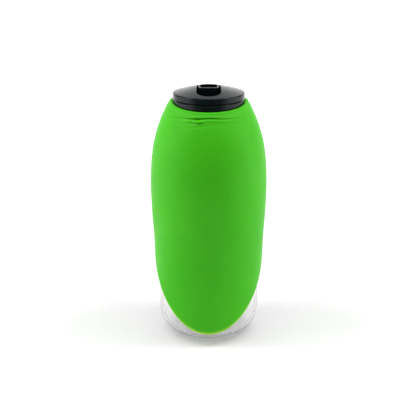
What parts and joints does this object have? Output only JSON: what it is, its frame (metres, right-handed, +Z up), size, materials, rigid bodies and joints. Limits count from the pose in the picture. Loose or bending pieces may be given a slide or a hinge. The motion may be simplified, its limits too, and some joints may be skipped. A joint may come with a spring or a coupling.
{
  "type": "pet water bottle",
  "caption": "Clear squeeze bottle with a soft leaf-shaped drinking bowl folded down over it, a clamp ring, and a low domed screw cap with a push-pull spout.",
  "frame": {"origin": "on the bottle's axis, in the plane of the base ring that the bottle stands on", "axes": "+Z up along the bottle's axis; -Y towards the long side of the leaf (the front); +X to the right seen from the front"},
  "size_m": [0.0803, 0.0803, 0.1768],
  "materials": {
    "clear_plastic": "clear gloss",
    "green_silicone": "satin silicone",
    "black_ring": "semi-gloss moulded",
    "black_cap": "semi-gloss moulded",
    "black_spout": "semi-gloss moulded",
    "insert_plastic": "plain moulded",
    "gasket_rubber": "matt silicone"
  },
  "bodies": {
    "bottle": {"bottle": "clear_plastic", "clamp_ring": "black_ring", "leaf_collar": "green_silicone"},
    "leaf": {"leaf_flap": "green_silicone"},
    "cap_liner": {"cap_gasket": "gasket_rubber"},
    "cap": {"screw_cap": "black_cap", "valve_insert": "insert_plastic", "post_seal": "gasket_rubber"},
    "spout": {"spout": "black_spout"}
  },
  "joints": [
    {"name": "leaf_peel", "type": "hinge", "parent": "bottle", "child": "leaf", "pos_m": [0, -0.0301, 0.1602], "axis": [-1, 0, 0], "range_deg": [0, 60], "stiffness_Nm_per_rad": 0.06},
    {"name": "cap_lift", "type": "slide", "parent": "bottle", "child": "cap_liner", "axis": [0, 0, 1], "range_m": [0, 0.01]},
    {"name": "cap_turn", "type": "hinge", "parent": "cap_liner", "child": "cap", "pos_m": [0, 0, 0.168], "axis": [0, 0, 1], "range_deg": [0, 900]},
    {"name": "spout_pull", "type": "slide", "parent": "cap", "child": "spout", "axis": [0, 0, 1], "range_m": [0, 0.005]}
  ],
  "couplings": [
    {"joint": "cap_lift", "follows": "cap_turn", "m_per_rad": 0.00063662}
  ]
}
